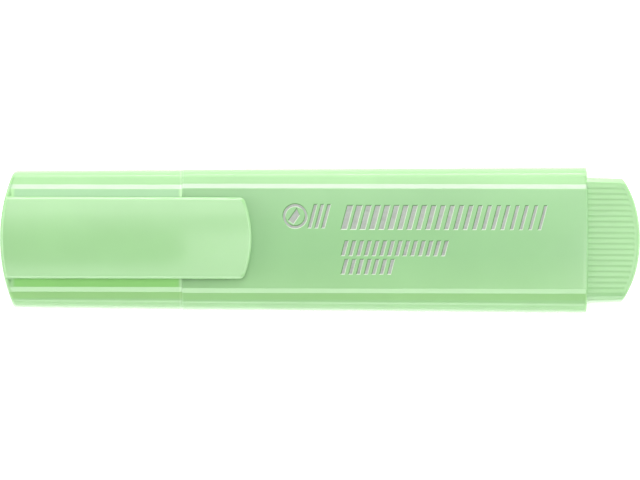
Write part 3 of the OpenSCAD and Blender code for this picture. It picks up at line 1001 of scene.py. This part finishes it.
def writing_end():
    x_neck, x_nose = X_NECK, s_lo[0]
    prof = rounded_profile([
        (0, x_neck + 1.5), (5.19, x_neck + 1.5, 0.1), (5.19, x_neck, 0.02), (5.75, x_neck, 0.12), (5.75, x_neck - 1.0, 0.3),
        (4.9, x_neck - 1.0, 0.25), (4.9, x_neck - 9.6, 0.3), (4.75, x_neck - 9.9, 0.3), (3.75, x_nose + 0.35, 0.2), (3.4, x_nose, 0.1), (0, x_nose)])
    o = turned("front_section_cone", prof, SECT, 128)
    tools = [nib_tool(2.56, 1.86, 0.95, x_nose - 1, x_nose + 3.2)]
    for y in (-1.2, 1.2):
        for z in (-1, 1):
            tools.append(block((x_nose - 1, y - 0.25, ZC + z * 1.95 - 0.3), (x_nose + 3, y + 0.25, ZC + z * 1.95 + 0.3), 0))
    cut(o, tools, SECT, 30)
    weighted(o)
    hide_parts("front_section")
    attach(o, "barrel_body")

    # nib: slanted, wedge-shaped edge with softened corners
    B = Build()
    base = rrect_ring(2.5, 1.8, 0.85, 6, 6, 3)
    xtip = n_lo[0]
    def lead(y):
        return xtip + np.maximum(0, 0.58 * (y + 1.75)) + np.maximum(0, -0.45 * (y + 1.75))
    rings = []
    for d, k in [(0.0, 0.42), (0.03, 0.62), (0.1, 0.8), (0.22, 0.94), (0.4, 1.0)] + [(x, 1.0) for x in (0.8, 1.4, 2.0, 2.6, 3.2, 3.7, 3.9, 4.2, 5, 6.5, 8.2)]:
        ht = 0.75 + min(d, 3.9) * 1.05 / 3.9
        s = base * np.array([1 - 0.16 * (1 - k), ht / 1.8 * k])
        f = smooth((8.2 - d) / 8.2 * 1.4)
        xs = lead(s[:, 0]) + d if d < 6 else (lead(s[:, 0]) * f + (xtip + 1.3) * (1 - f)) + d
        rings.append(B.pts(ring3(s, xs)))
    B.loft(rings)
    B.ladder(rings[0])
    B.ladder(rings[-1], flip=True)
    n = B.make("chisel_nib", NIB, 50)
    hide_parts("nib")
    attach(n, "barrel_body")

    # inner cap: a soft cup with a sealing bead at its mouth
    xi0, xi1 = X_END + 2.1, X_NECK - 1 - 4.2
    prof = rounded_profile([
        (0, X_END + 1.45), (1.95, X_END + 1.45, 0.1), (1.95, xi0, 0.1), (5.6, xi0, 0.5), (5.6, xi1, 0.25), (5.15, xi1, 0.15),
        (4.97, xi1 - 0.5, 0.2), (4.97, xi1 - 1.1, 0.2), (5.2, xi1 - 1.6, 0.2), (5.2, xi0 + 1.1, 0.4), (0, xi0 + 1.1)])
    c = turned("inner_seal_cup", prof, SEAL, 96)
    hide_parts("inner_cap")
    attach(c, "cap_body")


writing_end()

# ---------------------------------------------------------------------------
# pieces whose CAD shape is right: better materials only
# ---------------------------------------------------------------------------

for node, mat in (("reservoir_core", CORE), ("reservoir_film", FILM), ("breather_tube", TUBE)):
    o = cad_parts[node]
    o.data.materials.clear()
    o.data.materials.append(mat)

# ---------------------------------------------------------------------------
# floor, light and camera
# ---------------------------------------------------------------------------


def floor():
    B = Build()
    n = 8
    g = np.linspace(-4000, 4000, n + 1)
    idx = [B.pts([(x, y, 0) for x in g]) for y in g]
    for a, b in zip(idx, idx[1:]):
        for i in range(n):
            B.f.append((a[i], a[i + 1], b[i + 1], b[i]))
    m = Mat("floor")
    tone = m.noise(m.coords(), 6.0, 2.0, 0.5)
    m.link(m.ramp(tone, [(0.3, (0.90, 0.90, 0.90, 1)), (0.7, (0.93, 0.93, 0.93, 1))]), m.bsdf.inputs["Base Color"])
    m.set(Roughness=0.9, Specular_IOR_Level=0.1, Emission_Strength=0.50)
    m.bsdf.inputs["Emission Color"].default_value = (1, 1, 1, 1)
    o = B.make("floor", m.m)


floor()

world = bpy.data.worlds.new("studio")
world.use_nodes = True
bg = world.node_tree.nodes["Background"]
bg.inputs["Color"].default_value = (1, 1, 1, 1)
nodes, links = world.node_tree.nodes, world.node_tree.links
way = nodes.new("ShaderNodeSeparateXYZ")
links.new(nodes.new("ShaderNodeTexCoord").outputs["Generated"], way.inputs["Vector"])
sky = nodes.new("ShaderNodeMapRange")          # white below the floor's far edge, dim above it
sky.inputs["From Min"].default_value = -0.012
sky.inputs["From Max"].default_value = -0.004
sky.inputs["To Min"].default_value = 1.0
sky.inputs["To Max"].default_value = 0.19
links.new(way.outputs["Z"], sky.inputs["Value"])
links.new(sky.outputs["Result"], bg.inputs["Strength"])
bpy.context.scene.world = world


def area(name, pos, size, radiance, target=(0, 0, 0.008)):
    d = bpy.data.lights.new(name, "AREA")
    d.shape, d.size, d.size_y = "RECTANGLE", size[0], size[1]
    d.energy = radiance * math.pi * size[0] * size[1]
    o = bpy.data.objects.new(name, d)
    o.location = pos
    o.rotation_euler = (Vector(pos) - Vector(target)).to_track_quat("Z", "Y").to_euler()
    o.visible_camera = False
    bpy.context.scene.collection.objects.link(o)
    return o


def overhead(name, x0, x1, y0, y1, radiance, h=0.62):
    """Soft panel facing straight down, over the rectangle x0..x1, y0..y1 (mm)."""
    c = (x0 + x1) / 2 * MM, (y0 + y1) / 2 * MM
    return area(name, (c[0], c[1], h), ((x1 - x0) * MM, (y1 - y0) * MM), radiance, (c[0], c[1], 0))


def around(name, azimuth, lo, hi, half, radiance, d=0.62):
    """Soft panel towards an azimuth (0 is +X, 90 is +Y), lo..hi degrees above the
    floor and half degrees to either side."""
    e, a = rad((lo + hi) / 2), rad(azimuth)
    pos = (d * cos(e) * cos(a), d * cos(e) * sin(a), 0.008 + d * sin(e))
    o = area(name, pos, (2 * d * math.tan(rad(half)), 2 * d * math.tan(rad((hi - lo) / 2))), radiance)
    z = Vector((cos(e) * cos(a), cos(e) * sin(a), sin(e)))
    x = Vector((-sin(a), cos(a), 0))
    o.rotation_euler = Matrix((x, z.cross(x), z)).transposed().to_euler()
    return o


overhead("over_middle", -75, 50, -32, 32, 0.3)
overhead("over_far_a", -170, 190, 52, 110, 1.6)
overhead("over_far_b", -170, 190, 110, 250, 4.7)
overhead("over_near", -170, 190, -210, -88, 3.4)
overhead("over_tail", 76, 170, -86, 66, 5.8)
around("far_mid", 90, 22, 58, 16, 2.9)
around("far_low", 90, 12, 20, 26, 3.6)
around("far_strip", 90, 4.5, 10, 30, 13.5)
around("near_low", 270, 12, 20, 26, 4.4)
around("near_strip", 270, 3, 12, 30, 5.1)
around("tail_side", 0, 8, 22, 26, 5.6)
around("tail_high", 0, 28, 52, 15, 2.7)
around("cap_side", 180, 6, 24, 28, 4.8)
around("cap_high", 180, 36, 52, 20, 1.8)

scene = bpy.context.scene
scene.view_settings.view_transform = "Standard"
scene.view_settings.look = "None"
scene.view_settings.exposure = 0
scene.view_settings.gamma = 1

cam = bpy.data.cameras.new("camera")
cam.type = "PERSP"
cam.lens, cam.sensor_width = 1150, 36
cam.clip_end = 20
cobj = bpy.data.objects.new("camera", cam)
scene.collection.objects.link(cobj)
el, aim = rad(88.0), Vector((0, -0.00003, ZC * MM))
dist = 0.11819 * 1150 / 36
direction = Vector((0, -cos(el), sin(el)))
cobj.location = aim + direction * dist
cobj.rotation_euler = (math.pi / 2 - el, 0, 0)
cobj.rotation_euler.rotate_axis("Z", rad(0.11))
scene.camera = cobj
